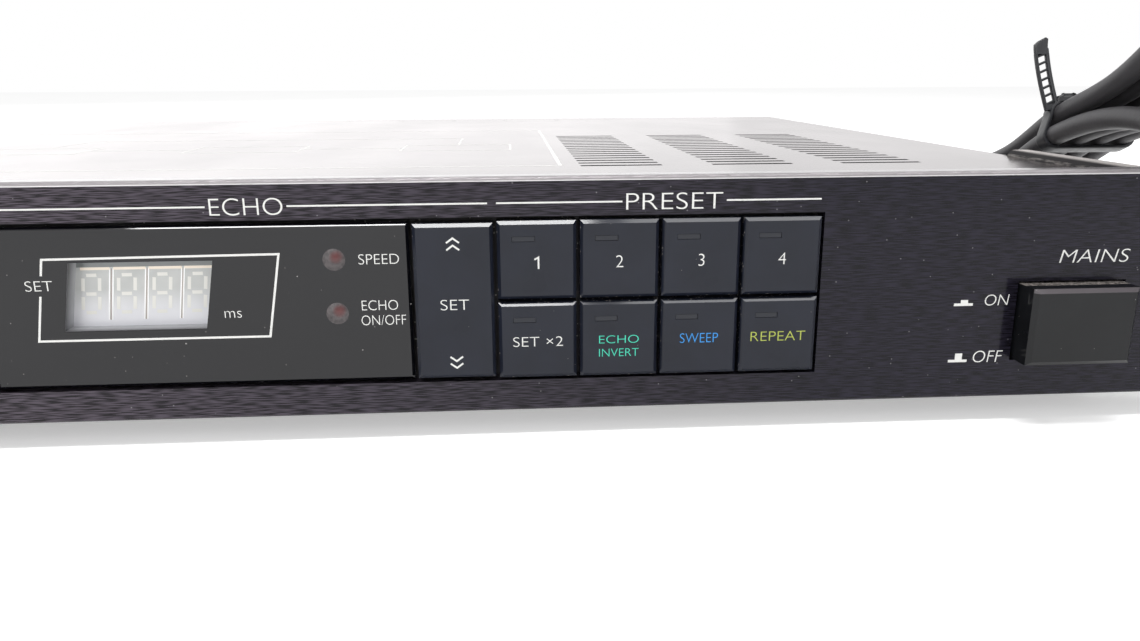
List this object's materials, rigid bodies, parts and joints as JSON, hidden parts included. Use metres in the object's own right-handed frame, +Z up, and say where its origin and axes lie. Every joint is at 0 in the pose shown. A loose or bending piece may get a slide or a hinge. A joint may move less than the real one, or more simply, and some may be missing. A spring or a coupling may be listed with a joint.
{
  "type": "rackmount delay unit",
  "caption": "Low rack effects unit with a keypad, a digit display, knobs, a vented cover, rear jacks and a mains cord tied in a hank",
  "frame": {"origin": "middle of the panel's front face, at the centre of the rack slot pattern", "axes": "+X to the right seen from the front, +Y to the rear, +Z up"},
  "size_m": [0.508, 0.3458, 0.0861],
  "materials": {
    "panel_black": "brushed and black anodised",
    "case_black": "satin black paint",
    "pan_steel": "satin dark grey paint",
    "bracket_black": "satin dark paint, worn at the top edge",
    "zinc_steel": "zinc plated",
    "window_smoke": "smoked acrylic",
    "display_face": "pale unlit digits in a grey housing",
    "lamp_red": "tinted lens, unlit",
    "key_slate": "satin moulded caps",
    "knob_black": "fine texture",
    "board_green": "solder mask",
    "chip_black": "moulded epoxy",
    "sleeve_blue": "shrunk sleeve",
    "core_steel": "stacked and varnished plates",
    "coil_tape": "amber winding tape",
    "sink_black": "black anodised",
    "switch_cream": "moulded",
    "jack_black": "moulded",
    "brass_turned": "turned",
    "foot_rubber": "moulded",
    "cord_pvc": "satin sheath",
    "plug_pvc": "moulded",
    "tie_nylon": "moulded"
  },
  "bodies": {
    "case": {"chassis_pan": "pan_steel", "top_cover": "case_black", "rear_panel": "pan_steel", "front_panel": "panel_black", "subpanel": "case_black", "left_bracket": "bracket_black", "right_bracket": "bracket_black", "bracket_screws": "zinc_steel", "cover_screws": "zinc_steel", "rubber_feet": "foot_rubber", "foot_screws": "zinc_steel", "display_window": "window_smoke", "display_module": "display_face", "indicator_lamps": "lamp_red", "key_switches": "chip_black", "front_board": "board_green", "power_switch": "switch_cream", "control_bodies": "zinc_steel", "control_nuts": "zinc_steel", "meter_lamps": "lamp_red", "main_board": "board_green", "board_standoffs": "brass_turned", "board_screws": "zinc_steel", "chips": "chip_black", "capacitors": "sleeve_blue", "transformer_core": "core_steel", "transformer_coil": "coil_tape", "heat_sink": "sink_black", "regulators": "chip_black", "jack_sockets": "jack_black", "jack_nuts": "zinc_steel", "range_switch": "jack_black", "strain_relief": "plug_pvc", "mains_lead": "cord_pvc", "cord_hank": "cord_pvc", "plug_lead": "cord_pvc", "plug": "plug_pvc", "cable_tie": "tie_nylon"},
    "rocker": {"time_rocker": "key_slate"},
    "power_button": {"power_key": "key_slate"},
    "range_lever": {"range_slider": "switch_cream"},
    "preset_key_1_body": {"preset_key_1": "key_slate"},
    "preset_key_2_body": {"preset_key_2": "key_slate"},
    "preset_key_3_body": {"preset_key_3": "key_slate"},
    "preset_key_4_body": {"preset_key_4": "key_slate"},
    "double_key_body": {"double_key": "key_slate"},
    "invert_key_body": {"invert_key": "key_slate"},
    "sweep_key_body": {"sweep_key": "key_slate"},
    "repeat_key_body": {"repeat_key": "key_slate"},
    "input_control": {"input_knob": "knob_black", "input_shaft": "zinc_steel"},
    "rate_control": {"rate_knob": "knob_black", "rate_shaft": "zinc_steel"},
    "depth_control": {"depth_knob": "knob_black", "depth_shaft": "zinc_steel"},
    "feedback_control": {"feedback_knob": "knob_black", "feedback_shaft": "zinc_steel"},
    "output_control": {"output_knob": "knob_black", "output_shaft": "zinc_steel"}
  },
  "joints": [
    {"name": "preset_key_1_press", "type": "slide", "parent": "case", "child": "preset_key_1_body", "axis": [0, 1, 0], "range_m": [0, 0.0007], "stiffness_N_per_m": 600},
    {"name": "preset_key_2_press", "type": "slide", "parent": "case", "child": "preset_key_2_body", "axis": [0, 1, 0], "range_m": [0, 0.0007], "stiffness_N_per_m": 600},
    {"name": "preset_key_3_press", "type": "slide", "parent": "case", "child": "preset_key_3_body", "axis": [0, 1, 0], "range_m": [0, 0.0007], "stiffness_N_per_m": 600},
    {"name": "preset_key_4_press", "type": "slide", "parent": "case", "child": "preset_key_4_body", "axis": [0, 1, 0], "range_m": [0, 0.0007], "stiffness_N_per_m": 600},
    {"name": "double_key_press", "type": "slide", "parent": "case", "child": "double_key_body", "axis": [0, 1, 0], "range_m": [0, 0.0007], "stiffness_N_per_m": 600},
    {"name": "invert_key_press", "type": "slide", "parent": "case", "child": "invert_key_body", "axis": [0, 1, 0], "range_m": [0, 0.0007], "stiffness_N_per_m": 600},
    {"name": "sweep_key_press", "type": "slide", "parent": "case", "child": "sweep_key_body", "axis": [0, 1, 0], "range_m": [0, 0.0007], "stiffness_N_per_m": 600},
    {"name": "repeat_key_press", "type": "slide", "parent": "case", "child": "repeat_key_body", "axis": [0, 1, 0], "range_m": [0, 0.0007], "stiffness_N_per_m": 600},
    {"name": "rocker_tilt", "type": "hinge", "parent": "case", "child": "rocker", "pos_m": [0.0809, 0.0072, -0.0005], "axis": [1, 0, 0], "range_deg": [-2, 2], "stiffness_Nm_per_rad": 0.2},
    {"name": "power_press", "type": "slide", "parent": "case", "child": "power_button", "axis": [0, 1, 0], "range_m": [0, 0.004]},
    {"name": "input_turn", "type": "hinge", "parent": "case", "child": "input_control", "pos_m": [-0.187, 0, -0.001], "axis": [0, 1, 0], "range_deg": [-150, 150]},
    {"name": "rate_turn", "type": "hinge", "parent": "case", "child": "rate_control", "pos_m": [-0.117, 0, -0.001], "axis": [0, 1, 0], "range_deg": [-150, 150]},
    {"name": "depth_turn", "type": "hinge", "parent": "case", "child": "depth_control", "pos_m": [-0.087, 0, -0.001], "axis": [0, 1, 0], "range_deg": [-150, 150]},
    {"name": "feedback_turn", "type": "hinge", "parent": "case", "child": "feedback_control", "pos_m": [-0.057, 0, -0.001], "axis": [0, 1, 0], "range_deg": [-150, 150]},
    {"name": "output_turn", "type": "hinge", "parent": "case", "child": "output_control", "pos_m": [-0.027, 0, -0.001], "axis": [0, 1, 0], "range_deg": [-150, 150]},
    {"name": "range_slide", "type": "slide", "parent": "case", "child": "range_lever", "axis": [1, 0, 0], "range_m": [0, 0.006]}
  ]
}
